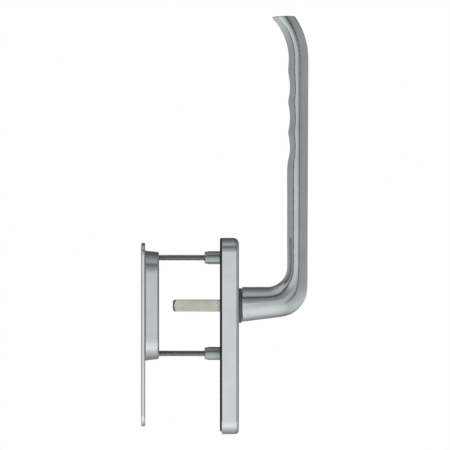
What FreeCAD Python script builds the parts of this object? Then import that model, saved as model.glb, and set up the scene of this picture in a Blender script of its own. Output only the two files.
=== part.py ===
import FreeCAD, Part
import math
import os

# Handle set for a lift and slide door, in millimetres.
# +X runs along the spindle from the door into the room, +Z is up and +Y lies across the door.
# The origin is where the spindle's axis meets the door's inner face. The lever stands up, as on a
# closed door, and turns half a round about X. The door leaf itself fills X from -door_thickness to 0.

V = FreeCAD.Vector
ALONG_X = V(1, 0, 0)
ALONG_Y = V(0, 1, 0)

# What the door and its lock ask for
door_thickness = 62.5
screw_spacing = 80.0
spindle_square = 10.0
cylinder_drop = 69.0
profile_round = 17.0
profile_slot = 10.0
profile_height = 33.0
profile_clearance = 0.3

# Plates on the room side
plate_width = 36.0
plate_rise = 56.6
plate_foot_land = 13.8
plate_corner = 12.0
underlay_thickness = 1.6
underlay_foot = 1.9
underlay_foot_chamfer = 1.1
cover_depth = 14.4
cover_wall = 2.0
cover_side_edge = 2.5
cover_top_edge = 5.0
cover_foot_edge = 3.5
cover_back_chamfer = 0.35

# Cast base under the cover
base_web = 3.0
base_rim_wall = 1.8
base_rim_depth = 7.4
base_fit = 0.2
hub_diameter = 30.6
hub_depth = 10.0
snap_radius = 2.2
snap_length = 7.0
snap_reach = 0.45
snap_clearance = 0.12
snap_below_top = 21.5
snap_above_foot = 18.0

# Support lugs that reach into the door
lug_diameter = 11.0
lug_root_diameter = 12.0
lug_length = 12.8
lug_tip_diameter = 10.2
lug_tip_length = 2.6
lug_tip_chamfer = 0.8
lug_hole_clearance = 0.25

# Through screws
screw_diameter = 5.0
screw_length = 65.0
screw_head_diameter = 9.4
screw_head_cylinder = 0.4
screw_point_chamfer = 0.7
screw_recess = 4.4
screw_recess_slot = 1.1
screw_recess_depth = 2.2
screw_hole_clearance = 0.2
thread_clearance = 0.04

# Bearing of the lever in the base, listed from the door outwards
journal_diameter = 20.0
journal_recess = 0.5
ring_thickness = 1.2
ring_groove_depth = 0.5
ring_band = 2.6
ring_ear = 1.6
ring_gap_degrees = 40.0
ring_ear_degrees = 8.0
ring_place = 0.8
spring_thickness = 0.5
spring_height = 0.9
spring_diameter = 27.6
thrust_thickness = 0.9
thrust_diameter = 27.6
pocket_diameter = 29.0
bush_wall = 1.9
bush_clearance = 0.05
slip_clearance = 0.2
seat_gap = 0.05

# Collar between the cover and the lever's neck
collar_diameter = 29.0
collar_thickness = 2.35
collar_sleeve_diameter = 26.0
collar_hole_clearance = 0.15
collar_edge = 0.5

# Spindle and the pin that holds it
spindle_reach = 39.3
spindle_in_neck = 30.0
spindle_edge = 0.6
spindle_tip_round = 12.4
spindle_tip_length = 2.4
spindle_tip_shoulder = 0.95
socket_clearance = 0.06
pin_diameter = 3.0
pin_bore = 1.7
pin_slit = 0.5
pin_end_gap = 0.6
pin_clearance = 0.03

# Lever: the neck leaves the collar, bends up and becomes the grip
neck_start_gap = 0.1
neck_top = 15.6
neck_bottom = 13.6
neck_taper_degrees = 7.1
neck_edge = 0.8
bend_inner_radius = 16.6
bend_outer_radius = 24.8
grip_inner = 56.2
grip_outer = 73.2
grip_outer_top = 74.0
grip_half_width = 11.6
grip_crest = 57.1
groove_depth = 1.4
groove_pitch = 25.5
groove_count = 3
top_groove_height = 182.6
groove_run_in = 17.0
crest_softness = 0.16
tip_start_height = 206.0
tip_inner_start = 57.55
tip_inner_radius = 49.5
tip_outer_radius = 62.0
tip_half_width = 10.4
tip_rise = 35.9
tip_overrun_degrees = 4.0
tip_dome_radius = 90.0
tip_edge = 0.6

# How closely the lever's loft follows its outline
section_points = 16
sections_in_neck = 4
sections_in_bend = 7
sections_on_shaft = 5
sections_in_run_in = 4
sections_in_tip = 6
sections_per_groove = 6

# Pull with a finger cup on the outside of the door
pull_width = 41.0
pull_rise = 52.5
pull_foot_land = 7.2
pull_corner = 10.0
pull_thickness = 3.2
pull_front_edge = 1.5
pull_back_chamfer = 0.4
cup_length = 92.0
cup_width = 37.0
cup_depth = 11.7
cup_draft_degrees = 6.0
cup_back_edge = 1.6
cup_root_edge = 1.2
recess_length = 66.0
recess_width = 30.6
recess_floor = 2.0
recess_mouth_edge = 1.2
recess_floor_edge = 3.0
screw_lead_in = 1.1
screw_hole_end = 1.2

# How near two places count as the same
near = 1e-3

# Places that follow from the sizes above
cylinder_foot = cylinder_drop + profile_height - profile_round / 2
plate_drop = cylinder_foot + plate_foot_land
pull_drop = cylinder_foot + pull_foot_land
cover_back = underlay_thickness
cover_front = cover_back + cover_depth
base_front = underlay_thickness + base_web
hub_front = underlay_thickness + hub_depth
screw_heights = (screw_spacing / 2, -screw_spacing / 2)
ring_back = journal_recess + ring_place
spring_back = ring_back + ring_thickness + seat_gap
thrust_back = spring_back + spring_height + seat_gap
pocket_front = thrust_back + thrust_thickness + seat_gap
bush_outer = journal_diameter + 2 * (bush_clearance + bush_wall)
collar_back = cover_front + seat_gap
neck_start = collar_back + collar_thickness + neck_start_gap
pin_place = (pocket_front + hub_front) / 2
lever_height = tip_start_height + tip_rise
low_groove = top_groove_height - (groove_count - 1) * groove_pitch
smooth_end = low_groove - groove_run_in
pull_back = -door_thickness
pull_front = pull_back - pull_thickness
cup_back = pull_back + cup_depth


def cylinder_x(diameter, x_from, x_to, y=0.0, z=0.0):
    """A round bar along X."""
    return Part.makeCylinder(diameter / 2, x_to - x_from, V(x_from, y, z), ALONG_X)


def cone_x(diameter_from, diameter_to, x_from, x_to, y=0.0, z=0.0):
    """A round taper along X."""
    return Part.makeCone(diameter_from / 2, diameter_to / 2, x_to - x_from, V(x_from, y, z), ALONG_X)


def block(x_from, x_to, y_from, y_to, z_from, z_to):
    """A plain block between two corners."""
    return Part.makeBox(x_to - x_from, y_to - y_from, z_to - z_from, V(x_from, y_from, z_from))


def edges_along_x(shape):
    """The straight edges that run along X."""
    found = []
    for edge in shape.Edges:
        start, end = edge.Vertexes[0].Point, edge.Vertexes[-1].Point
        run = end.sub(start)
        if run.Length > 1e-6 and abs(abs(run.x) - run.Length) < 1e-6:
            found.append(edge)
    return found


def edges_at_x(shape, x):
    """The edges that lie wholly in the plane at x."""
    return [edge for edge in shape.Edges
            if abs(edge.BoundBox.XMin - x) < near and abs(edge.BoundBox.XMax - x) < near]


def middle_of(edge):
    return edge.valueAt((edge.FirstParameter + edge.LastParameter) / 2)


def round_front(shape, x, side, top, foot):
    """Rounds a plate's front edge by a radius for its long sides, one for its top and one for its
    foot. Round the corners the radius changes evenly from one to the next."""
    work = FreeCAD.newDocument("rounding")
    plain = work.addObject("Part::Feature", "plain")
    plain.Shape = shape
    rounding = work.addObject("Part::Fillet", "rounding")
    rounding.Base = plain
    radii = []
    front = edges_at_x(shape, x)
    for number, edge in enumerate(shape.Edges, 1):
        if not any(edge.isSame(other) for other in front) or edge.Curve.TypeId != "Part::GeomLine":
            continue
        box = edge.BoundBox
        radius = side if box.ZLength > box.YLength else (top if box.Center.z > 0 else foot)
        radii.append((number, radius, radius))
    rounding.Edges = radii
    work.recompute()
    rounded = rounding.Shape.copy()
    FreeCAD.closeDocument(work.Name)
    return rounded


def rounded_plate(x_from, x_to, width, rise, drop, corner):
    """A flat plate across the spindle, from z = -drop to z = rise, with rounded corners."""
    plain = block(x_from, x_to, -width / 2, width / 2, -drop, rise)
    return plain.makeFillet(corner, edges_along_x(plain))


def stadium(x, length, width):
    """The wire of a slot shape with full round ends, standing in the plane at x."""
    radius, straight = width / 2, length / 2 - width / 2
    top = Part.Arc(V(x, -radius, straight), V(x, 0, length / 2), V(x, radius, straight))
    bottom = Part.Arc(V(x, radius, -straight), V(x, 0, -length / 2), V(x, -radius, -straight))
    right = Part.LineSegment(V(x, radius, straight), V(x, radius, -straight))
    left = Part.LineSegment(V(x, -radius, -straight), V(x, -radius, straight))
    return Part.Wire([curve.toShape() for curve in (top, right, bottom, left)])


def cylinder_profile(x_from, x_to):
    """The keyhole-shaped opening for the lock cylinder, a round with a slot hanging from it."""
    round_d = profile_round + 2 * profile_clearance
    slot_w = profile_slot + 2 * profile_clearance
    slot_end = profile_slot / 2 - cylinder_foot
    head = cylinder_x(round_d, x_from, x_to, z=-cylinder_drop)
    slot = block(x_from, x_to, -slot_w / 2, slot_w / 2, slot_end, -cylinder_drop)
    foot = cylinder_x(slot_w, x_from, x_to, z=slot_end)
    return head.multiFuse([slot, foot]).removeSplitter()


def snaps(reach, x_place, spare=0.0):
    """Half-round ridges on the rim's long sides, near its top, at its middle and near its foot."""
    half = plate_width / 2 - cover_wall - base_fit
    top, foot = plate_rise - snap_below_top, snap_above_foot - plate_drop
    length = snap_length + 2 * spare
    ridges = []
    for height in (top, (top + foot) / 2, foot):
        for side in (-1, 1):
            start = V(x_place, side * (half + reach - snap_radius), height - length / 2)
            ridges.append(Part.makeCylinder(snap_radius, length, start))
    return ridges


def cover_plate():
    """Thin drawn cap over the base, with a hole for the collar and one for the lock cylinder."""
    outer = rounded_plate(cover_back, cover_front, plate_width, plate_rise, plate_drop, plate_corner)
    outer = round_front(outer, cover_front, cover_side_edge, cover_top_edge, cover_foot_edge)
    inner_front = cover_front - cover_wall
    hollow = rounded_plate(cover_back, inner_front, plate_width - 2 * cover_wall,
                           plate_rise - cover_wall, plate_drop - cover_wall, plate_corner - cover_wall)
    hollow = round_front(hollow, inner_front, cover_side_edge - cover_wall, cover_top_edge - cover_wall,
                         cover_foot_edge - cover_wall)
    outer = outer.makeChamfer(cover_back_chamfer, edges_at_x(outer, cover_back))
    collar_hole = cylinder_x(collar_sleeve_diameter + 2 * collar_hole_clearance, cover_back, cover_front)
    cap = outer.cut(hollow).cut(collar_hole).cut(cylinder_profile(cover_back, cover_front))
    snap_place = underlay_thickness + base_rim_depth - snap_radius
    for ridge in snaps(snap_reach + snap_clearance, snap_place, base_fit):
        cap = cap.cut(ridge)
    return cap


def support_lug(height):
    """A round lug that centres the plate in the door, with a stepped and chamfered tip."""
    step = -lug_length + lug_tip_length
    root = cylinder_x(lug_root_diameter, 0, underlay_thickness, z=height)
    body = cylinder_x(lug_diameter, step, 0, z=height)
    tip = cylinder_x(lug_tip_diameter, -lug_length, step, z=height)
    tip = tip.makeChamfer(lug_tip_chamfer, edges_at_x(tip, -lug_length))
    return root.multiFuse([body, tip])


def base_plate():
    """Cast base: a web with a rim, a hub for the bearing and two support lugs behind it."""
    width = plate_width - 2 * (cover_wall + base_fit)
    rise = plate_rise - cover_wall - base_fit
    drop = plate_drop - cover_wall - base_fit
    corner = plate_corner - cover_wall - base_fit
    rim_front = underlay_thickness + base_rim_depth
    tray = rounded_plate(underlay_thickness, rim_front, width, rise, drop, corner)
    hollow = rounded_plate(base_front, rim_front, width - 2 * base_rim_wall, rise - base_rim_wall,
                           drop - base_rim_wall, corner - base_rim_wall)
    tray = tray.cut(hollow)
    hub = cylinder_x(hub_diameter, underlay_thickness, hub_front)
    lugs = [support_lug(height) for height in screw_heights]
    ridges = snaps(snap_reach, rim_front - snap_radius)
    body = tray.multiFuse([hub] + lugs + ridges).removeSplitter()
    body = body.cut(cylinder_x(pocket_diameter, underlay_thickness, pocket_front))
    body = body.cut(cylinder_x(bush_outer + 2 * seat_gap, pocket_front, hub_front))
    body = body.cut(cylinder_profile(underlay_thickness, rim_front))
    for height in screw_heights:
        body = body.cut(screw_shape(height, screw_hole_clearance))
    return body


def underlay():
    """Dark plastic sheet between the base and the door, a little short at the foot."""
    drop = plate_drop - underlay_foot
    sheet = rounded_plate(0, underlay_thickness, plate_width, plate_rise, drop, plate_corner)
    foot_edges = [edge for edge in edges_at_x(sheet, 0) if edge.BoundBox.ZMax < -drop + near]
    sheet = sheet.makeChamfer(underlay_foot_chamfer, foot_edges)
    sheet = sheet.cut(cylinder_x(pocket_diameter + 2 * slip_clearance, 0, underlay_thickness))
    sheet = sheet.cut(cylinder_profile(0, underlay_thickness))
    for height in screw_heights:
        hole = lug_root_diameter + 2 * lug_hole_clearance
        sheet = sheet.cut(cylinder_x(hole, 0, underlay_thickness, z=height))
    return sheet


def screw_shape(height, grow):
    """Countersunk screw without its recess. grow is added all round, to make the hole for it."""
    shank = screw_diameter + 2 * grow
    head = screw_head_diameter + 2 * grow
    cone_length = (screw_head_diameter - screw_diameter) / 2
    rim_back = base_front - screw_head_cylinder
    rim = cylinder_x(head, rim_back, base_front, z=height)
    cone = cone_x(shank, head, rim_back - cone_length, rim_back, z=height)
    point = base_front - screw_length
    bar = cylinder_x(shank, point, rim_back - cone_length, z=height)
    return rim.multiFuse([cone, bar]).removeSplitter()


def through_screw(height):
    """Countersunk screw from the base to the pull, with a cross recess and a chamfered point."""
    screw = screw_shape(height, 0.0)
    screw = screw.makeChamfer(screw_point_chamfer, edges_at_x(screw, base_front - screw_length))
    for across, along in ((screw_recess, screw_recess_slot), (screw_recess_slot, screw_recess)):
        slot = block(base_front - screw_recess_depth, base_front, -across / 2, across / 2,
                     height - along / 2, height + along / 2)
        screw = screw.cut(slot)
    return screw


def bearing_bush():
    """Plain bush pressed into the hub, in which the lever's journal turns."""
    inner = journal_diameter + 2 * bush_clearance
    return cylinder_x(bush_outer, pocket_front, hub_front).cut(cylinder_x(inner, pocket_front, hub_front))


def thrust_washer():
    """Flat washer between the hub and the spring."""
    front = thrust_back + thrust_thickness
    bore = journal_diameter + 2 * slip_clearance
    return cylinder_x(thrust_diameter, thrust_back, front).cut(cylinder_x(bore, thrust_back, front))


def disc_spring():
    """Coned spring washer that draws the lever in and gives it a steady drag."""
    bore = journal_diameter / 2 + slip_clearance
    rim = spring_diameter / 2
    lift = spring_height - spring_thickness
    points = [V(spring_back, 0, bore), V(spring_back + spring_thickness, 0, bore),
              V(spring_back + spring_height, 0, rim), V(spring_back + lift, 0, rim)]
    outline = Part.makePolygon(points + points[:1])
    return Part.Face(outline).revolve(V(0, 0, 0), ALONG_X, 360)


def retaining_ring():
    """Open ring in the journal's groove, with two ears and holes to spread it by."""
    groove = journal_diameter - 2 * ring_groove_depth
    front = ring_back + ring_thickness
    outer = groove + 2 * ring_band
    ring = cylinder_x(outer, ring_back, front)
    ear_ring = outer / 2 - ring_band / 2
    ears, holes = [], []
    for side in (-1, 1):
        angle = math.radians(side * (ring_gap_degrees / 2 + ring_ear_degrees) - 90)
        y, z = ear_ring * math.cos(angle), ear_ring * math.sin(angle)
        ears.append(cylinder_x(2 * ring_ear + ring_band, ring_back, front, y, z))
        holes.append(cylinder_x(ring_ear, ring_back, front, y, z))
    ring = ring.multiFuse(ears).removeSplitter()
    reach = pocket_diameter
    half = math.radians(ring_gap_degrees / 2)
    gap_points = [V(ring_back, 0, 0), V(ring_back, -reach * math.sin(half), -reach * math.cos(half)),
                  V(ring_back, reach * math.sin(half), -reach * math.cos(half))]
    gap = Part.Face(Part.makePolygon(gap_points + gap_points[:1])).extrude(V(ring_thickness, 0, 0))
    ring = ring.cut(gap).cut(cylinder_x(groove + 2 * seat_gap, ring_back, front))
    for hole in holes:
        ring = ring.cut(hole)
    return ring


def neck_collar():
    """Guide collar: a flange in front of the cover and a sleeve through it down to the hub."""
    front = collar_back + collar_thickness
    flange = cylinder_x(collar_diameter, collar_back, front)
    flange = flange.makeChamfer(collar_edge, edges_at_x(flange, front))
    sleeve = cylinder_x(collar_sleeve_diameter, hub_front + seat_gap, collar_back)
    bore = cylinder_x(journal_diameter + 2 * slip_clearance, hub_front, front)
    return flange.fuse(sleeve).removeSplitter().cut(bore)


def spindle():
    """Square bar that carries the turn into the lock, with eased edges and a rounded point."""
    half = spindle_square / 2
    front = neck_start + spindle_in_neck
    bar = block(-spindle_reach, front, -half, half, -half, half)
    bar = bar.makeChamfer(spindle_edge, edges_along_x(bar))
    shoulder = -spindle_reach + spindle_tip_length
    full_start = shoulder + spindle_tip_shoulder
    full = 2 * spindle_square
    point = cone_x(spindle_tip_round - 2 * spindle_tip_length, spindle_tip_round, -spindle_reach, shoulder)
    slope = cone_x(spindle_tip_round, full, shoulder, full_start)
    rest = cylinder_x(full, full_start, front)
    bar = bar.common(point.multiFuse([slope, rest]))
    return bar.cut(pin_hole(pin_clearance))


def pin_hole(grow):
    """The cross hole for the spring pin, as a solid to cut with."""
    reach = journal_diameter
    radius = pin_diameter / 2 + grow
    return Part.makeCylinder(radius, 2 * reach, V(pin_place, -reach, 0), ALONG_Y)


def spindle_pin():
    """Rolled spring pin with a slit along it. The bush keeps it from sliding out."""
    length = journal_diameter - 2 * pin_end_gap
    start = V(pin_place, -length / 2, 0)
    tube = Part.makeCylinder(pin_diameter / 2, length, start, ALONG_Y)
    tube = tube.cut(Part.makeCylinder(pin_bore / 2, length, start, ALONG_Y))
    slit = block(pin_place, pin_place + pin_diameter, -length / 2, length / 2, -pin_slit / 2, pin_slit / 2)
    return tube.cut(slit)


def ease(share):
    """A soft start and stop between 0 and 1."""
    return (1 - math.cos(math.pi * min(max(share, 0.0), 1.0))) / 2


def between(start, end, share):
    return start + (end - start) * share


def outer_outline():
    """The palm side of the lever seen from the side: underside of the neck, bend, grip and tip."""
    slope = math.radians(neck_taper_degrees)
    bend_x = grip_outer - bend_outer_radius
    line_z = -neck_bottom + math.tan(slope) * (bend_x - neck_start)
    bend_z = line_z + bend_outer_radius / math.cos(slope)
    bend_centre = V(bend_x, 0, bend_z)

    def on_bend(angle):
        return bend_centre + V(math.cos(angle), 0, math.sin(angle)) * bend_outer_radius

    bend_start = -math.pi / 2 + slope
    tip_centre = V(grip_outer_top - tip_outer_radius, 0, tip_start_height)

    def on_tip(angle):
        return tip_centre + V(math.cos(angle), 0, math.sin(angle)) * tip_outer_radius

    tip_end = math.pi / 2
    runs = [
        Part.LineSegment(V(neck_start, 0, -neck_bottom), on_bend(bend_start)),
        Part.Arc(on_bend(bend_start), on_bend(bend_start / 2), on_bend(0)),
        Part.LineSegment(on_bend(0), on_tip(0)),
        Part.Arc(on_tip(0), on_tip(tip_end / 2), on_tip(tip_end)),
    ]
    return Part.Wire([run.toShape() for run in runs])


def groove_line(height):
    """X of the grip's finger side at a height: smooth below, then broad grooves with soft crests."""
    top_crest = top_groove_height + groove_pitch / 2
    if height >= top_crest:
        share = (height - top_crest) / (tip_start_height - top_crest)
        return between(grip_crest, tip_inner_start, ease(share))
    if height <= low_groove:
        share = (height - smooth_end) / groove_run_in
        return between(grip_inner, grip_crest + groove_depth, ease(share))
    turn = math.pi * (height - top_groove_height) / groove_pitch
    crest = crest_softness
    wave = (math.hypot(math.cos(turn), crest) - crest) / (math.hypot(1, crest) - crest)
    return grip_crest + groove_depth * wave


def oval(inner, outer, outer_half, half_width):
    """A closed section across the lever: two half ovals that meet at its widest line."""
    away = outer.sub(inner).normalize()
    middle = outer - away * outer_half
    inner_half = middle.distanceToPoint(inner)
    points = []
    for step in range(section_points):
        angle = 2 * math.pi * step / section_points
        reach = (outer_half if math.cos(angle) > 0 else inner_half) * math.cos(angle)
        points.append(middle + away * reach + ALONG_Y * (half_width * math.sin(angle)))
    even_steps = [float(step) for step in range(section_points + 1)]
    curve = Part.BSplineCurve()
    curve.interpolate(Points=points, Parameters=even_steps, PeriodicFlag=True)
    return Part.Wire([curve.toShape()])


def lever_sections():
    """The sections of the lever, from the neck's start to just past the tip."""
    outline = outer_outline()
    far = 4 * grip_outer

    def outer_point(start, towards):
        ray = Part.LineSegment(start, start + towards * far).toShape()
        return ray.distToShape(outline)[1][0][0]

    sections = []
    bend_centre = V(grip_inner - bend_inner_radius, 0, neck_top + bend_inner_radius)
    down = V(0, 0, -1)
    grip_half = (grip_outer - grip_inner) / 2
    neck_half = (neck_top + neck_bottom) / 2
    neck_run = bend_centre.x - neck_start
    bend_run = math.pi / 2 * (bend_inner_radius + grip_half)

    def side_half(run):
        return between(neck_half, grip_half_width, ease(run / (neck_run + bend_run)))

    for step in range(sections_in_neck):
        run = neck_run * step / sections_in_neck
        inner = V(neck_start + run, 0, neck_top)
        outer = outer_point(inner, down)
        half = inner.distanceToPoint(outer) / 2
        sections.append(oval(inner, outer, half, side_half(run)))
    for step in range(sections_in_bend + 1):
        share = step / sections_in_bend
        angle = math.radians(90 * share - 90)
        towards = V(math.cos(angle), 0, math.sin(angle))
        inner = bend_centre + towards * bend_inner_radius
        outer = outer_point(inner, towards)
        half = inner.distanceToPoint(outer) / 2
        sections.append(oval(inner, outer, half, side_half(neck_run + bend_run * share)))

    tip_half = (grip_outer_top - tip_inner_start) / 2
    heights = [between(bend_centre.z, smooth_end, (step + 1) / sections_on_shaft)
               for step in range(sections_on_shaft)]
    heights += [smooth_end + groove_run_in * step / sections_in_run_in
                for step in range(1, sections_in_run_in)]
    step_height = groove_pitch / sections_per_groove
    steps = int((groove_count - 0.5) * sections_per_groove)
    heights += [low_groove + step_height * step for step in range(steps + 1)]
    heights.append((heights[-1] + tip_start_height) / 2)
    for height in heights:
        inner = V(groove_line(height), 0, height)
        outer = outer_point(inner, ALONG_X)
        share = (height - smooth_end) / (tip_start_height - smooth_end)
        half = between(grip_half, tip_half, ease(share))
        sections.append(oval(inner, outer, half, grip_half_width))

    tip_centre = V(tip_inner_start - tip_inner_radius, 0, tip_start_height)
    tip_turn = math.asin(tip_rise / tip_inner_radius) + math.radians(tip_overrun_degrees)
    for step in range(sections_in_tip + 1):
        share = step / sections_in_tip
        angle = share * tip_turn
        towards = V(math.cos(angle), 0, math.sin(angle))
        inner = tip_centre + towards * tip_inner_radius
        outer = outer_point(inner, towards)
        half = inner.distanceToPoint(outer) / 2
        width = between(grip_half_width, tip_half_width, ease(share))
        sections.append(oval(inner, outer, half, width))
    return sections


def edges_on_dome(shape, centre):
    """The edges that lie on the domed top of the tip."""
    found = []
    for edge in shape.Edges:
        middle = middle_of(edge)
        radius = math.hypot(middle.x - centre.x, middle.z - centre.z)
        if middle.z > tip_start_height and abs(radius - tip_dome_radius) < near:
            found.append(edge)
    return found


def lever_handle():
    """Cast lever: journal, neck, bend, grip with finger grooves and a tip that leans to the door."""
    arm = Part.makeLoft(lever_sections(), True, False)
    side = 2 * grip_half_width
    dome_centre = V(grip_inner, -side, lever_height - tip_dome_radius)
    dome = Part.makeCylinder(tip_dome_radius, 2 * side, dome_centre, ALONG_Y)
    dome.rotate(dome_centre, ALONG_Y, 180)
    room = block(neck_start - neck_edge, 2 * grip_outer, -side, side, -2 * neck_bottom, dome_centre.z)
    arm = arm.common(dome.fuse(room))
    arm = arm.makeFillet(tip_edge, edges_on_dome(arm, dome_centre))
    neck_edges = [edge for edge in arm.Edges if edge.BoundBox.XMax < neck_start + near]
    arm = arm.makeFillet(neck_edge, neck_edges)
    journal = cylinder_x(journal_diameter, journal_recess, neck_start + 2 * neck_edge)
    body = arm.fuse(journal)
    groove = journal_diameter - 2 * ring_groove_depth
    groove_back = ring_back - seat_gap
    groove_front = ring_back + ring_thickness + seat_gap
    around = journal_diameter + 2 * ring_groove_depth
    body = body.cut(cylinder_x(around, groove_back, groove_front)
                    .cut(cylinder_x(groove, groove_back, groove_front)))
    half = spindle_square / 2 + socket_clearance
    socket = block(journal_recess, neck_start + spindle_in_neck + slip_clearance, -half, half, -half, half)
    return body.cut(socket).cut(pin_hole(pin_clearance))


def outer_pull():
    """Cast pull: a flat plate with a drafted finger cup behind it and a boss for each screw."""
    plate = rounded_plate(pull_front, pull_back, pull_width, pull_rise, pull_drop, pull_corner)
    plate = plate.makeFillet(pull_front_edge, edges_at_x(plate, pull_front))
    plate = plate.makeChamfer(pull_back_chamfer, edges_at_x(plate, pull_back))
    shrink = 2 * cup_depth * math.tan(math.radians(cup_draft_degrees))
    cup = Part.makeLoft([stadium(pull_back, cup_length, cup_width),
                         stadium(cup_back, cup_length - shrink, cup_width - shrink)], True, True)
    cup = cup.makeFillet(cup_back_edge, edges_at_x(cup, cup_back))
    body = plate.fuse(cup)
    outline = stadium(pull_back, cup_length, cup_width)
    root = [edge for edge in edges_at_x(body, pull_back)
            if outline.distToShape(Part.Vertex(middle_of(edge)))[0] < near]
    root_room = min((pull_width - cup_width) / 2, pull_rise - cup_length / 2) - pull_back_chamfer
    body = body.makeFillet(min(cup_root_edge, 0.9 * root_room), root)
    floor = cup_back - recess_floor
    depth = floor - pull_front
    narrowing = 2 * depth * math.tan(math.radians(cup_draft_degrees))
    recess = Part.makeLoft([stadium(pull_front, recess_length, recess_width),
                            stadium(floor, recess_length - narrowing, recess_width - narrowing)],
                           True, True)
    recess = recess.makeFillet(recess_floor_edge, edges_at_x(recess, floor))
    body = body.cut(recess)
    mouth = [edge for edge in edges_at_x(body, pull_front)
             if edge.BoundBox.ZMin > -cup_length / 2 and edge.BoundBox.ZMax < cup_length / 2]
    body = body.makeFillet(recess_mouth_edge, mouth)
    hole_end = base_front - screw_length - screw_hole_end
    hole = screw_diameter + 2 * thread_clearance
    for height in screw_heights:
        body = body.cut(cylinder_x(hole, hole_end, cup_back, z=height))
        body = body.cut(cone_x(hole, hole + 2 * screw_lead_in, cup_back - screw_lead_in, cup_back, z=height))
    return body.cut(cylinder_profile(pull_front, pull_back))


pieces = {
    "lever_handle": lever_handle,
    "spindle": spindle,
    "spindle_pin": spindle_pin,
    "retaining_ring": retaining_ring,
    "disc_spring": disc_spring,
    "thrust_washer": thrust_washer,
    "bearing_bush": bearing_bush,
    "neck_collar": neck_collar,
    "cover_plate": cover_plate,
    "base_plate": base_plate,
    "underlay": underlay,
    "upper_screw": lambda: through_screw(screw_heights[0]),
    "lower_screw": lambda: through_screw(screw_heights[1]),
    "outer_pull": outer_pull,
}

os.makedirs("parts", exist_ok=True)
for name, build in pieces.items():
    shape = build()
    shape.exportStep(os.path.join("parts", name + ".step"))
    box = shape.BoundBox
    print(f"{name:15s} solids {len(shape.Solids)} valid {shape.isValid()} volume {shape.Volume:9.1f} mm3",
          f"x {box.XMin:7.2f} {box.XMax:7.2f} y {box.YMin:7.2f} {box.YMax:7.2f}",
          f"z {box.ZMin:8.2f} {box.ZMax:8.2f}")
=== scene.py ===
# %% [markdown]
# A lift and slide door handle, dressed for a studio picture.
#
# The set has two sides. In the room a long lever stands on a narrow plate, and outside a flat pull
# with a finger cup is screwed on through the door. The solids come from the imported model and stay
# where they are. This notebook gives each of them its finish, replaces the two plain screws by
# threaded ones, and builds the light that satin metal needs.

import math

import bmesh
import bpy
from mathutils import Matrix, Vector


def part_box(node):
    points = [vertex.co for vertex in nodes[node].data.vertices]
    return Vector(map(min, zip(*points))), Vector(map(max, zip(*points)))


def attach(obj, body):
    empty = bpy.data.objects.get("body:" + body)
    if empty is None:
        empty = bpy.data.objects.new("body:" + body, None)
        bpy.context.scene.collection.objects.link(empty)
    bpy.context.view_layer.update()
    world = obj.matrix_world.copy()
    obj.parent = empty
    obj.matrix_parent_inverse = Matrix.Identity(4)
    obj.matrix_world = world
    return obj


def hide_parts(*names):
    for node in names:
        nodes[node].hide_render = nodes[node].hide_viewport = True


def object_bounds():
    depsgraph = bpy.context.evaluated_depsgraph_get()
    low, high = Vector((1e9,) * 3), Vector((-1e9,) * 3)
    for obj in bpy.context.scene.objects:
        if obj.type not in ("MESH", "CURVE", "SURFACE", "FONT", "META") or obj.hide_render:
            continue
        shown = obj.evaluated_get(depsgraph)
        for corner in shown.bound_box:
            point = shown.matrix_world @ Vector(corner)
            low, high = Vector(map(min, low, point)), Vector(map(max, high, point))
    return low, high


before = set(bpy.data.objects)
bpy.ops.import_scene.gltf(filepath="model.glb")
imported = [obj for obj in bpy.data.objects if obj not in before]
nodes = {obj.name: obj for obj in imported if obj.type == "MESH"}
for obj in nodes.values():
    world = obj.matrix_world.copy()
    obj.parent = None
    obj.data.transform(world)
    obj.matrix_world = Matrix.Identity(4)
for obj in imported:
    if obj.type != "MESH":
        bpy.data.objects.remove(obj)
cad_box = [list(corner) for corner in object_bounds()]
mm = 0.001
print("pieces in the frame:", len(nodes), "box in mm:",
      [[round(value / mm, 1) for value in corner] for corner in cad_box])

# %% [markdown]
# The picture is a plain side view from far off with a long lens, so that the plates show as thin
# strips and the lever as an even bar. A long lens is a large focal length at a large distance.
# The lens follows from the width that the picture shows.

# %% The camera
picture_width = 376.0 * mm
picture_centre = Vector((4.3, 0.0, 67.3)) * mm
camera_distance = 7.0
sensor_width = 36.0

lens_data = bpy.data.cameras.new("side_view")
lens_data.sensor_width = sensor_width
lens_data.lens = sensor_width * camera_distance / picture_width
camera = bpy.data.objects.new("side_view", lens_data)
camera.location = picture_centre + Vector((0, -camera_distance, 0))
camera.rotation_euler = (math.radians(90), 0, 0)
bpy.context.scene.collection.objects.link(camera)
bpy.context.scene.camera = camera
print("focal length", round(lens_data.lens), "mm")

# %% [markdown]
# Every material here is a small network of nodes, written out in code. Wiring by hand takes three
# lines a node, so a few helpers keep it short. The first makes a node and fills in its inputs,
# where a plain number is set on the socket and another node's output becomes a link.


# %% Making a node
def add_node(tree, kind, **inputs):
    """A new node. Inputs are named with _ for a space, and a socket as value becomes a link."""
    node = tree.nodes.new("ShaderNode" + kind)
    for name, value in inputs.items():
        set_input(tree, node, name.replace("_", " "), value)
    return node


def set_input(tree, node, name, value):
    """Links an input if the value is a socket, and otherwise sets it."""
    socket = node.inputs[name]
    if isinstance(value, bpy.types.NodeSocket):
        tree.links.new(value, socket)
    else:
        socket.default_value = value


# %% [markdown]
# Masks are built by arithmetic: a product keeps what is in both masks, and a ramp from one range
# to another turns a distance or an angle into a soft edge.


# %% Arithmetic with nodes
def calculate(tree, operation, first, second=0.0, clamp=False):
    """One step of arithmetic on two numbers or sockets."""
    node = tree.nodes.new("ShaderNodeMath")
    node.operation = operation
    node.use_clamp = clamp
    set_input(tree, node, 0, first)
    set_input(tree, node, 1, second)
    return node.outputs[0]


def times(tree, first, second):
    return calculate(tree, "MULTIPLY", first, second)


def plus(tree, first, second):
    return calculate(tree, "ADD", first, second)


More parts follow.
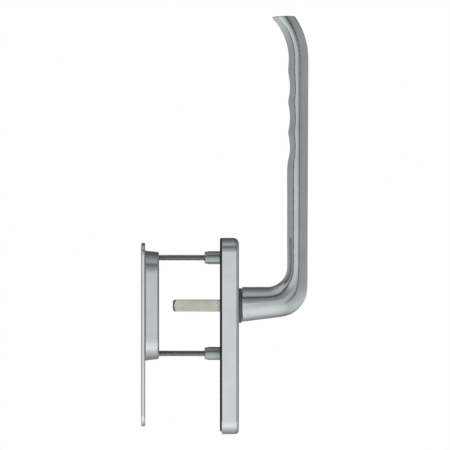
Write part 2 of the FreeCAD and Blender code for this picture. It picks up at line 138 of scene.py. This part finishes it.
def one_minus(tree, value):
    return calculate(tree, "SUBTRACT", 1.0, value)


def vector_step(tree, operation, first, second=None):
    """One step of arithmetic on vectors."""
    node = tree.nodes.new("ShaderNodeVectorMath")
    node.operation = operation
    set_input(tree, node, 0, first)
    if second is not None:
        set_input(tree, node, 1, second)
    return node


def scaled(tree, value, from_low, from_high, to_low, to_high):
    """A value moved from one range to another, smoothly and with both ends held."""
    node = add_node(tree, "MapRange", Value=value, From_Min=from_low, From_Max=from_high,
                    To_Min=to_low, To_Max=to_high)
    node.interpolation_type = "SMOOTHSTEP"
    return node.outputs["Result"]


def blended(tree, share, first, second):
    """A colour between two others."""
    node = tree.nodes.new("ShaderNodeMix")
    node.data_type = "RGBA"
    set_input(tree, node, 0, share)
    set_input(tree, node, 6, first)
    set_input(tree, node, 7, second)
    return node.outputs[2]


def grey(tree, value):
    """A number as a colour, the same in all three channels."""
    return add_node(tree, "CombineXYZ", X=value, Y=value, Z=value).outputs[0]


# %% [markdown]
# A material starts with an empty tree and one Principled shader. What several materials share goes
# into a node group: a small network with named inputs, built once and placed wherever it is needed.


# %% Making materials, groups and objects
def new_material(name):
    """An empty material: its node tree and its Principled shader."""
    material = bpy.data.materials.new(name)
    material.use_nodes = True
    tree = material.node_tree
    tree.nodes.clear()
    shader = tree.nodes.new("ShaderNodeBsdfPrincipled")
    output = tree.nodes.new("ShaderNodeOutputMaterial")
    tree.links.new(shader.outputs["BSDF"], output.inputs["Surface"])
    return material, tree, shader


def new_group(name, inputs, outputs):
    """An empty node group. Inputs are given as name: start value, and outputs as name: kind."""
    group = bpy.data.node_groups.new(name, "ShaderNodeTree")
    for label, start in inputs.items():
        socket = group.interface.new_socket(label, in_out="INPUT", socket_type="NodeSocketFloat")
        socket.default_value = start
    for label, kind in outputs.items():
        group.interface.new_socket(label, in_out="OUTPUT", socket_type="NodeSocket" + kind)
    return group, group.nodes.new("NodeGroupInput"), group.nodes.new("NodeGroupOutput")


def use_group(tree, group, **inputs):
    """Places a group in a material with this material's own values."""
    node = tree.nodes.new("ShaderNodeGroup")
    node.node_tree = group
    for name, value in inputs.items():
        set_input(tree, node, name.replace("_", " "), value)
    return node


def new_object(name, mesh, material):
    thing = bpy.data.objects.new(name, mesh)
    bpy.context.scene.collection.objects.link(thing)
    mesh.materials.append(material)
    return thing


print("helpers ready")

# %% [markdown]
# Satin metal has almost no look of its own: it shows what stands round it. A photographer puts it
# in a tent of pale cloth, and the tent's bright and dark parts draw the shading on the metal. Lamps
# alone would leave small hot spots on a black lever. So the light here is a glowing sphere of cloth
# that only the metal sees.
#
# Each spot of the cloth is described by two angles in degrees from the line to the camera: how far
# up and how far to the side. A round bar that lies level shows the cloth from top to bottom, and an
# upright one shows it from side to side. The two tables say how bright it is along these two lines.

# %% The brightness of the cloth
tent_radius = 1.1
tent_centre = Vector((10, 0, 50)) * mm

cloth_by_height = [(-180, 0.38), (-155, 0.38), (-133, 0.47), (-118, 0.56), (-106, 0.77), (-95, 1.0),
                   (-80, 1.15), (-60, 1.24), (-45, 1.14), (-31, 1.0), (-17, 0.84), (-3, 0.66),
                   (3, 0.56), (10, 0.47), (17, 0.40), (24, 0.34), (32, 0.31), (42, 0.33),
                   (52, 0.50), (60, 0.57), (77, 0.58), (86, 0.45), (106, 0.28), (133, 0.14),
                   (150, 0.22), (180, 0.35)]
side_cloth_by_height = [(-180, 0.38), (-133, 0.47), (-106, 0.77), (-95, 1.0), (-60, 1.2), (-31, 1.0),
                        (-17, 0.86), (-3, 0.72), (8, 0.68), (60, 0.66), (77, 0.6), (106, 0.35),
                        (133, 0.2), (180, 0.35)]
cloth_by_side = [(-180, 0.62), (-90, 0.66), (-64, 0.68), (-54, 1.15), (-16, 1.15), (-3, 0.95),
                 (14, 0.86), (36, 0.62), (60, 0.64), (90, 0.66), (180, 0.60)]


def brightness_by(tree, angle, stops):
    """A ramp of brightness over an angle in degrees, from a list of (angle, brightness)."""
    low, high = stops[0][0], stops[-1][0]
    share = add_node(tree, "MapRange", Value=angle, From_Min=low, From_Max=high).outputs["Result"]
    ramp = add_node(tree, "ValToRGB", Fac=share)
    elements = ramp.color_ramp.elements
    for index, (at, level) in enumerate(stops):
        place = (at - low) / (high - low)
        element = elements[index] if index < 2 else elements.new(place)
        element.position = place
        element.color = (level, level, level, 1)
    return ramp.outputs["Color"]


print("brightest cloth:", max(level for angle, level in cloth_by_height))

# %% [markdown]
# The angles come from the direction in which a spot lies, seen from the tent's centre. The camera
# looks along +Y, so the angle off its axis is the arc cosine of -Y. What remains of the direction,
# seen flat from the camera, splits this angle into its part to the side and its part upwards.


# %% Angles in the tent
def length_of(tree, first, second):
    """The length of the flat vector (first, second)."""
    squares = plus(tree, times(tree, first, first), times(tree, second, second))
    return calculate(tree, "SQRT", squares)


def tent_angles(tree):
    """Angles off the camera's line, and the shares of it to the side and upwards."""
    place = add_node(tree, "TexCoord").outputs["Object"]
    axes = add_node(tree, "SeparateXYZ", Vector=vector_step(tree, "NORMALIZE", place).outputs[0])
    side, height = axes.outputs["X"], axes.outputs["Z"]
    facing = times(tree, axes.outputs["Y"], -1)
    off_axis = times(tree, calculate(tree, "ARCCOSINE", facing), 180 / math.pi)
    not_zero = 0.001
    flat = calculate(tree, "MAXIMUM", length_of(tree, side, height), not_zero)
    side_share = calculate(tree, "DIVIDE", side, flat)
    up_share = calculate(tree, "DIVIDE", height, flat)
    return off_axis, side_share, up_share, height


# %% [markdown]
# Two dark things stand out in the cloth. A seam runs as a ring round the camera through the upper
# left part, wide and soft above and thin at the side, and draws the dark line that follows the
# inner side of the lever into its neck. To the right, the shade of a stand draws the second line.


# %% Seam and stand
seam_angle_above, seam_angle_left = 43.0, 59.0
seam_half_width_above, seam_half_width_left = 13.0, 9.5
seam_depth_above, seam_depth_left = 0.66, 0.91
stand_left, stand_right, stand_soft_side = 19, 30, 5
stand_foot, stand_head, stand_soft_end = -25, 60, 14
stand_depth_low, stand_depth_high = 0.66, 0.86


def between(tree, share, at_zero, at_one):
    """A straight change from one value to another."""
    return plus(tree, times(tree, share, at_one - at_zero), at_zero)


def band(tree, angle, low, high, soft):
    """1 between two angles in degrees and 0 outside them, with soft edges."""
    rise = scaled(tree, angle, low - soft, low + soft, 0, 1)
    fall = scaled(tree, angle, high - soft, high + soft, 1, 0)
    return times(tree, rise, fall)


def seam_shade(tree, off_axis, side_share, up_share):
    """How much the seam darkens the cloth. left is 0 at the top of the ring and 1 at its left."""
    left = scaled(tree, side_share, -1.0, -0.1, 1, 0)
    ring_at = between(tree, left, seam_angle_above, seam_angle_left)
    half_width = between(tree, left, seam_half_width_above, seam_half_width_left)
    from_ring = calculate(tree, "ABSOLUTE", calculate(tree, "SUBTRACT", off_axis, ring_at))
    share = calculate(tree, "DIVIDE", from_ring, half_width)
    ring = scaled(tree, calculate(tree, "SUBTRACT", 1.0, share, clamp=True), 0.0, 0.8, 0, 1)
    not_below = scaled(tree, up_share, -0.45, -0.1, 0, 1)
    not_right = scaled(tree, side_share, 0.1, 0.6, 1, 0)
    part = times(tree, times(tree, ring, not_below), not_right)
    return times(tree, part, between(tree, left, seam_depth_above, seam_depth_left))


def stand_shade(tree, across, up):
    """How much the stand darkens the cloth. It is darker higher up."""
    beside = band(tree, across, stand_left, stand_right, stand_soft_side)
    upright = band(tree, up, stand_foot, stand_head, stand_soft_end)
    depth = scaled(tree, up, -6, 14, stand_depth_low, stand_depth_high)
    return times(tree, times(tree, beside, upright), depth)


# %% [markdown]
# The cloth's brightness is the product of its two tables, less the shade of seam and stand. The
# slow fade above the camera belongs to the middle alone, so a second table takes over at the sides.
# A bright patch round the camera lights the flats that face it, which would be dull otherwise. The
# far side is even, because only the views from behind show it.


# %% The cloth
patch_side, patch_up, patch_glow = -4.0, -6.0, 0.17
patch_inside, patch_rim = 6, 16
behind_from, behind_all = 148, 172
behind_middle, behind_top = 0.36, 0.16


def tent_cloth():
    """The glowing cloth, worked out from the angles of each spot."""
    material = bpy.data.materials.new("tent_cloth")
    material.use_nodes = True
    tree = material.node_tree
    tree.nodes.clear()
    off_axis, side_share, up_share, height = tent_angles(tree)
    across = times(tree, off_axis, side_share)
    up = times(tree, off_axis, up_share)

    aside = scaled(tree, calculate(tree, "ABSOLUTE", side_share), 0.5, 0.92, 0, 1)
    by_height = blended(tree, aside, brightness_by(tree, up, cloth_by_height),
                        brightness_by(tree, up, side_cloth_by_height))
    cloth = times(tree, by_height, brightness_by(tree, across, cloth_by_side))
    shade = calculate(tree, "MAXIMUM", seam_shade(tree, off_axis, side_share, up_share),
                      stand_shade(tree, across, up))
    cloth = times(tree, cloth, one_minus(tree, shade))

    from_patch = length_of(tree, plus(tree, across, -patch_side), plus(tree, up, -patch_up))
    cloth = plus(tree, cloth, scaled(tree, from_patch, patch_inside, patch_rim, patch_glow, 0.0))

    behind = scaled(tree, off_axis, behind_from, behind_all, 0, 1)
    even = between(tree, height, behind_middle, behind_top)
    cloth = plus(tree, times(tree, cloth, one_minus(tree, behind)), times(tree, even, behind))
    glow = add_node(tree, "Emission", Color=grey(tree, cloth))
    output = tree.nodes.new("ShaderNodeOutputMaterial")
    tree.links.new(glow.outputs[0], output.inputs["Surface"])
    return material


# %% The light tent
tent_mesh = bpy.data.meshes.new("light_tent")
shape = bmesh.new()
bmesh.ops.create_icosphere(shape, subdivisions=4, radius=tent_radius)
shape.to_mesh(tent_mesh)
shape.free()
tent = new_object("light_tent", tent_mesh, tent_cloth())
tent.location = tent_centre
tent.visible_camera = False
print("tent of", len(tent_mesh.polygons), "faces, radius", tent_radius, "m")

# %% [markdown]
# The background has to be white without more light on the metal. The world is white, but the tent
# stands between it and the handle, so that only the camera sees it. A pale floor lies below, low
# enough for the lever when it is turned down. It takes a soft shadow, and fades out before it meets
# the white behind, so that no edge shows.

# %% White background and floor
lever_reach = cad_box[1][2]
floor_height = -lever_reach - 30 * mm
floor_radius = 0.55
white = (1, 1, 1, 1)

world = bpy.data.worlds.new("white")
bpy.context.scene.world = world
world.use_nodes = True
background = world.node_tree.nodes["Background"]
background.inputs["Color"].default_value = white
background.inputs["Strength"].default_value = 1.0


def floor_material():
    """A pale, dull floor that fades out towards its rim, with a faint glow for the camera alone."""
    material, tree, shader = new_material("pale_floor")
    shader.inputs["Base Color"].default_value = (0.9, 0.9, 0.9, 1)
    shader.inputs["Roughness"].default_value = 0.9
    place = add_node(tree, "TexCoord").outputs["Object"]
    distance = vector_step(tree, "LENGTH", place).outputs["Value"]
    alpha = scaled(tree, distance, 0.3 * floor_radius, 0.95 * floor_radius, 1, 0)
    tree.links.new(alpha, shader.inputs["Alpha"])
    seen = add_node(tree, "LightPath").outputs["Is Camera Ray"]
    shader.inputs["Emission Color"].default_value = white
    tree.links.new(times(tree, seen, 0.5), shader.inputs["Emission Strength"])
    return material


floor_mesh = bpy.data.meshes.new("floor")
shape = bmesh.new()
bmesh.ops.create_circle(shape, cap_ends=True, segments=96, radius=floor_radius)
shape.to_mesh(floor_mesh)
shape.free()
floor = new_object("floor", floor_mesh, floor_material())
floor.location = (0, 0, floor_height)
floor.visible_glossy = False

bpy.context.scene.view_settings.view_transform = "Standard"
print("floor at", round(floor_height / mm), "mm, the turned lever reaches", round(-lever_reach / mm))

# %% [markdown]
# Two effects come back in most of the finishes. No edge of a real part is dead sharp: the polish
# or the anodising leaves it a little rounder. The colour there is lightened too, which is a painted
# highlight. The Bevel node finds such edges without changing the mesh, because its normal leaves
# the true one only near an edge. And no finished surface is even: a fine grain in height and in
# gloss breaks the reflections up.


# %% Group for soft edges
def soft_edge_group():
    """Puts out a rounded normal and a mask that is 1 on an edge."""
    group, given, made = new_group("soft_edges", {"Radius": 0.25 * mm},
                                   {"Edge": "Float", "Normal": "Vector"})
    rounded = add_node(group, "Bevel", Radius=given.outputs["Radius"])
    rounded.samples = 6
    true = add_node(group, "NewGeometry").outputs["Normal"]
    agreement = vector_step(group, "DOT_PRODUCT", rounded.outputs[0], true).outputs["Value"]
    group.links.new(scaled(group, agreement, 0.88, 0.995, 1, 0), made.inputs["Edge"])
    group.links.new(rounded.outputs[0], made.inputs["Normal"])
    return group


soft_edges = soft_edge_group()
print("group:", soft_edges.name)


# %% Group for grain
def grain_group():
    """Fine grain, stretched along one axis where the metal was drawn or brushed."""
    group, given, made = new_group(
        "grain",
        {"Grain Size": 0.4 * mm, "Stretch X": 1, "Stretch Y": 1, "Stretch Z": 1, "Cloud Size": 15 * mm},
        {"Height": "Float", "Cloud": "Float"})
    place = add_node(group, "TexCoord").outputs["Object"]
    stretch = add_node(group, "CombineXYZ", X=given.outputs["Stretch X"], Y=given.outputs["Stretch Y"],
                       Z=given.outputs["Stretch Z"]).outputs[0]
    squeezed = vector_step(group, "DIVIDE", place, stretch).outputs[0]
    fine = calculate(group, "DIVIDE", 1.0, given.outputs["Grain Size"])
    speck = add_node(group, "TexNoise", Vector=squeezed, Scale=fine, Detail=3.0, Roughness=0.6)
    broad = calculate(group, "DIVIDE", 1.0, given.outputs["Cloud Size"])
    cloud = add_node(group, "TexNoise", Vector=place, Scale=broad, Detail=2.0, Roughness=0.5)
    group.links.new(speck.outputs[0], made.inputs["Height"])
    group.links.new(scaled(group, cloud.outputs[0], 0.3, 0.7, 0, 1), made.inputs["Cloud"])
    return group


grain = grain_group()
print("group:", grain.name)

# %% [markdown]
# The finishes differ in few numbers: their colour, how dull they are, how coarse and how stretched
# their grain is, how far their edges are rounded and how strong their painted edge highlight is. One
# function wires them all up, and each finish is a call with its own values. The grain goes into the
# gloss, a little into the colour and, through a Bump node, into the normal. On a satin plate, painted
# shade darkens the colour where the surface turns away from the eye, which Layer Weight measures.


# %% Wiring a finish
def painted_shade_aside(tree, colour, grazing_shade):
    """Painted shade: the colour is darkened where the surface turns away from the eye."""
    turned = add_node(tree, "LayerWeight", Blend=0.5).outputs["Facing"]
    keep = scaled(tree, turned, 0.0, 0.32, 1.0, grazing_shade)
    return vector_step(tree, "MULTIPLY", colour, grey(tree, keep)).outputs[0]


def finish(name, colour, rough, metallic=1.0, rough_spread=0.05, grain_size=0.4 * mm,
           stretch=(1, 1, 1), bump=0.1, depth=0.01 * mm, edge_radius=0.25 * mm, painted_edge_highlight=1.15,
           cloud_size=15 * mm, cloud_dark=0.94, grazing_shade=1.0):
    """A material. The grain spreads the roughness, clouds of cloud_size dull the colour, the edges get
    a painted highlight, and painted shade can darken it where it turns away from the eye.
    """
    material, tree, shader = new_material(name)
    texture = use_group(tree, grain, Grain_Size=grain_size, Stretch_X=stretch[0],
                        Stretch_Y=stretch[1], Stretch_Z=stretch[2], Cloud_Size=cloud_size)
    edges = use_group(tree, soft_edges, Radius=edge_radius)
    shader.inputs["Metallic"].default_value = metallic

    full = (*colour, 1)
    dull = (*(channel * cloud_dark for channel in colour), 1)
    # Painted highlight: the colour is lightened on the edges.
    bright = (*(min(1.0, channel * painted_edge_highlight) for channel in colour), 1)
    clouded = blended(tree, texture.outputs["Cloud"], dull, full)
    seen = blended(tree, edges.outputs["Edge"], clouded, bright)
    # Painted shade: the colour darkens where the surface turns away from the eye.
    if grazing_shade < 1.0:
        seen = painted_shade_aside(tree, seen, grazing_shade)
    tree.links.new(seen, shader.inputs["Base Color"])

    height = texture.outputs["Height"]
    gloss = scaled(tree, height, 0.25, 0.75, rough - rough_spread, rough + rough_spread)
    tree.links.new(gloss, shader.inputs["Roughness"])
    relief = add_node(tree, "Bump", Strength=bump, Distance=depth, Height=height,
                      Normal=edges.outputs["Normal"])
    tree.links.new(relief.outputs[0], shader.inputs["Normal"])
    return material


# %% [markdown]
# Lever, cover and pull are aluminium with a satin surface, anodised in silver. The lever is the
# smoother one, so that the lines of the tent stay sharp on it. The plates are duller and paler, and
# their flats come out even. Their edges carry a stronger painted highlight, and painted shade darkens
# them where they turn away from the eye.

# %% Anodised parts
silver = finish("silver_anodised", (0.605, 0.64, 0.645), 0.13, rough_spread=0.02, bump=0.05)
plate_silver = finish("plate_silver", (0.765, 0.785, 0.80), 0.22, rough_spread=0.03, bump=0.06,
                      edge_radius=0.3 * mm, painted_edge_highlight=1.2, grazing_shade=0.6)
print("anodised:", silver.name, plate_silver.name)

# %% [markdown]
# Between them sit moulded parts without any metal in them: the grey collar round the neck, the pale
# bush that the lever turns in, and the black sheet that lies between the plate and the door.

# %% Plastic parts
# The collar's edges get a stronger painted highlight.
collar_grey = finish("collar_grey", (0.15, 0.165, 0.162), 0.38, metallic=0.0, painted_edge_highlight=1.2)
bush_white = finish("bush_white", (0.7, 0.69, 0.63), 0.5, metallic=0.0)
sheet_black = finish("underlay_black", (0.012, 0.013, 0.014), 0.5, metallic=0.0,
                     grain_size=0.8 * mm, bump=0.3)
print("plastic:", collar_grey.name, bush_white.name, sheet_black.name)

# %% [markdown]
# The base is cast zinc, which is greyer and has a coarse skin. The spindle is drawn square and
# plated, so its colour is a little yellow and its grain is stretched along X. The screws, springs
# and washer are steel from dark to bright.

# %% Zinc and steel parts
zinc_cast = finish("cast_zinc", (0.42, 0.45, 0.46), 0.25, rough_spread=0.06, grain_size=0.9 * mm,
                   bump=0.3, depth=0.04 * mm, cloud_dark=0.85)
spindle_plate = finish("plated_spindle", (0.68, 0.69, 0.61), 0.3, stretch=(40, 1, 1), bump=0.15,
                       cloud_dark=0.88)
screw_dark = finish("screw_dark", (0.40, 0.40, 0.39), 0.22, bump=0.05)
spring_dark = finish("spring_dark", (0.12, 0.12, 0.12), 0.35, bump=0.1)
washer_bright = finish("washer_bright", (0.55, 0.56, 0.55), 0.25, bump=0.1)
print("metal:", zinc_cast.name, spindle_plate.name, screw_dark.name, spring_dark.name,
      washer_bright.name)

# %% [markdown]
# Each solid gets its finish in its material slots. The slots are linked to the object, so that the
# mesh itself stays as it was packed. The screws are not in this list, because threaded ones replace
# them below.

# %% Dressing the solids
finishes = {
    silver: ["lever_handle"],
    plate_silver: ["cover_plate", "outer_pull"],
    collar_grey: ["neck_collar"],
    bush_white: ["bearing_bush"],
    sheet_black: ["underlay"],
    zinc_cast: ["base_plate"],
    spindle_plate: ["spindle"],
    spring_dark: ["spindle_pin", "retaining_ring", "disc_spring"],
    washer_bright: ["thrust_washer"],
}
for material, names in finishes.items():
    for name in names:
        for slot in nodes[name].material_slots:
            slot.link = "OBJECT"
            slot.material = material
print("dressed:", sum(len(names) for names in finishes.values()), "of", len(nodes), "solids")

# %% [markdown]
# The two through screws are M5 with a pitch of 0.8 mm. A thread of this size is too fine for the
# solid model, so each plain screw is replaced here by one of the same length and diameter. Its head
# with the cross recess is a copy of the solid's, and the thread runs from the point almost up to
# it. A bump texture could draw the ridges too, but not in the outline of so thin a screw.
#
# The mesh follows the helix. Points are set along it in steps of the pitch and round it in steps of
# the turn, and after one turn they have moved on by one pitch. So the ridges run without steps.

# %% Sizes of the thread
screw_radius, root_radius, pitch = 2.5 * mm, 2.0 * mm, 0.8 * mm
thread_length, run_out = 60.0 * mm, 1.5 * mm
point_radius = screw_radius - 0.7 * mm
head_length = 2.6 * mm
into_head = 0.1 * mm
around_steps, pitch_steps = 28, 8
ridge_profile = [0.0, 0.0, 0.35, 0.75, 1.0, 1.0, 0.7, 0.3]
print("turns of thread:", round(thread_length / pitch))


# %% Points of the thread
def ring_point(x, radius, step, axis_height):
    """A point on a circle round the screw's axis."""
    turn = 2 * math.pi * step / around_steps
    return Vector((x, radius * math.cos(turn), axis_height + radius * math.sin(turn)))


def helix_point(along, step, start, end, axis_height):
    """A point of the thread. The ridges start at the bevel of the point and run out at the end."""
    x = start + pitch * (along / pitch_steps + step / around_steps)
    x = min(max(x, start), end)
    ridge = root_radius + (screw_radius - root_radius) * ridge_profile[along % pitch_steps]
    ridge = screw_radius - (screw_radius - ridge) * min(1.0, (end - x) / run_out)
    return ring_point(x, min(ridge, point_radius + x - start), step, axis_height)


# %% [markdown]
# The thread is a grid of faces between these points. At the last step round, a face goes on to the
# first step of the next turn. Points that fall past an end are held at it, where they meet and are
# merged. A plain collar of faces leads on into the head, and a cap closes the point.


# %% Faces of the screw
def add_thread(body, start, end, axis_height):
    turns = math.ceil((end - start) / pitch)
    grid = [[body.verts.new(helix_point(along, step, start, end, axis_height))
             for step in range(around_steps)]
            for along in range(-pitch_steps, (turns + 1) * pitch_steps + 1)]
    for row in range(len(grid) - 1):
        for step in range(around_steps - 1):
            body.faces.new([grid[row][step], grid[row][step + 1],
                            grid[row + 1][step + 1], grid[row + 1][step]])
    for row in range(len(grid) - 1 - pitch_steps):
        following = row + pitch_steps
        body.faces.new([grid[row][-1], grid[following][0], grid[following + 1][0], grid[row + 1][-1]])


def add_ring(body, x, radius, axis_height):
    return [body.verts.new(ring_point(x, radius, step, axis_height)) for step in range(around_steps)]


def add_ends(body, start, end, shank_end, axis_height):
    """The plain shank behind the thread, its cap inside the head, and the cap of the point."""
    first = add_ring(body, end, screw_radius, axis_height)
    last = add_ring(body, shank_end, screw_radius, axis_height)
    for step in range(around_steps):
        other = (step + 1) % around_steps
        body.faces.new([first[step], first[other], last[other], last[step]])
    body.faces.new(last)
    body.faces.new(add_ring(body, start, point_radius, axis_height))


def copy_head(body, solid, neck):
    """Takes the faces of the solid's head and leaves out those of its plain shank."""
    body.from_mesh(solid.data)
    body.transform(solid.matrix_world)
    past_neck = neck + 0.05 * mm
    shank = [face for face in body.faces if all(vert.co.x < past_neck for vert in face.verts)]
    bmesh.ops.delete(body, geom=shank, context="FACES")


# %% Threaded screws
def threaded_screw(name, plain_name):
    """A screw with its thread, in place of the plain one."""
    low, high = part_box(plain_name)
    axis_height = (low[2] + high[2]) / 2
    start, neck = low[0], high[0] - head_length
    end = start + thread_length
    body = bmesh.new()
    copy_head(body, nodes[plain_name], neck)
    add_thread(body, start, end, axis_height)
    add_ends(body, start, end, neck + into_head, axis_height)
    bmesh.ops.remove_doubles(body, verts=body.verts, dist=0.002 * mm)
    bmesh.ops.dissolve_degenerate(body, edges=body.edges, dist=0.001 * mm)
    bmesh.ops.recalc_face_normals(body, faces=body.faces)

    mesh = bpy.data.meshes.new(name)
    body.to_mesh(mesh)
    body.free()
    mesh.materials.clear()
    for face in mesh.polygons:
        face.use_smooth = True
        face.material_index = 0
    mesh.set_sharp_from_angle(angle=math.radians(40))
    screw = new_object(name, mesh, screw_dark)
    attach(screw, "plates")
    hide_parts(plain_name)
    print(name, "has", len(mesh.polygons), "faces")


threaded_screw("upper_screw_threaded", "upper_screw")
threaded_screw("lower_screw_threaded", "lower_screw")
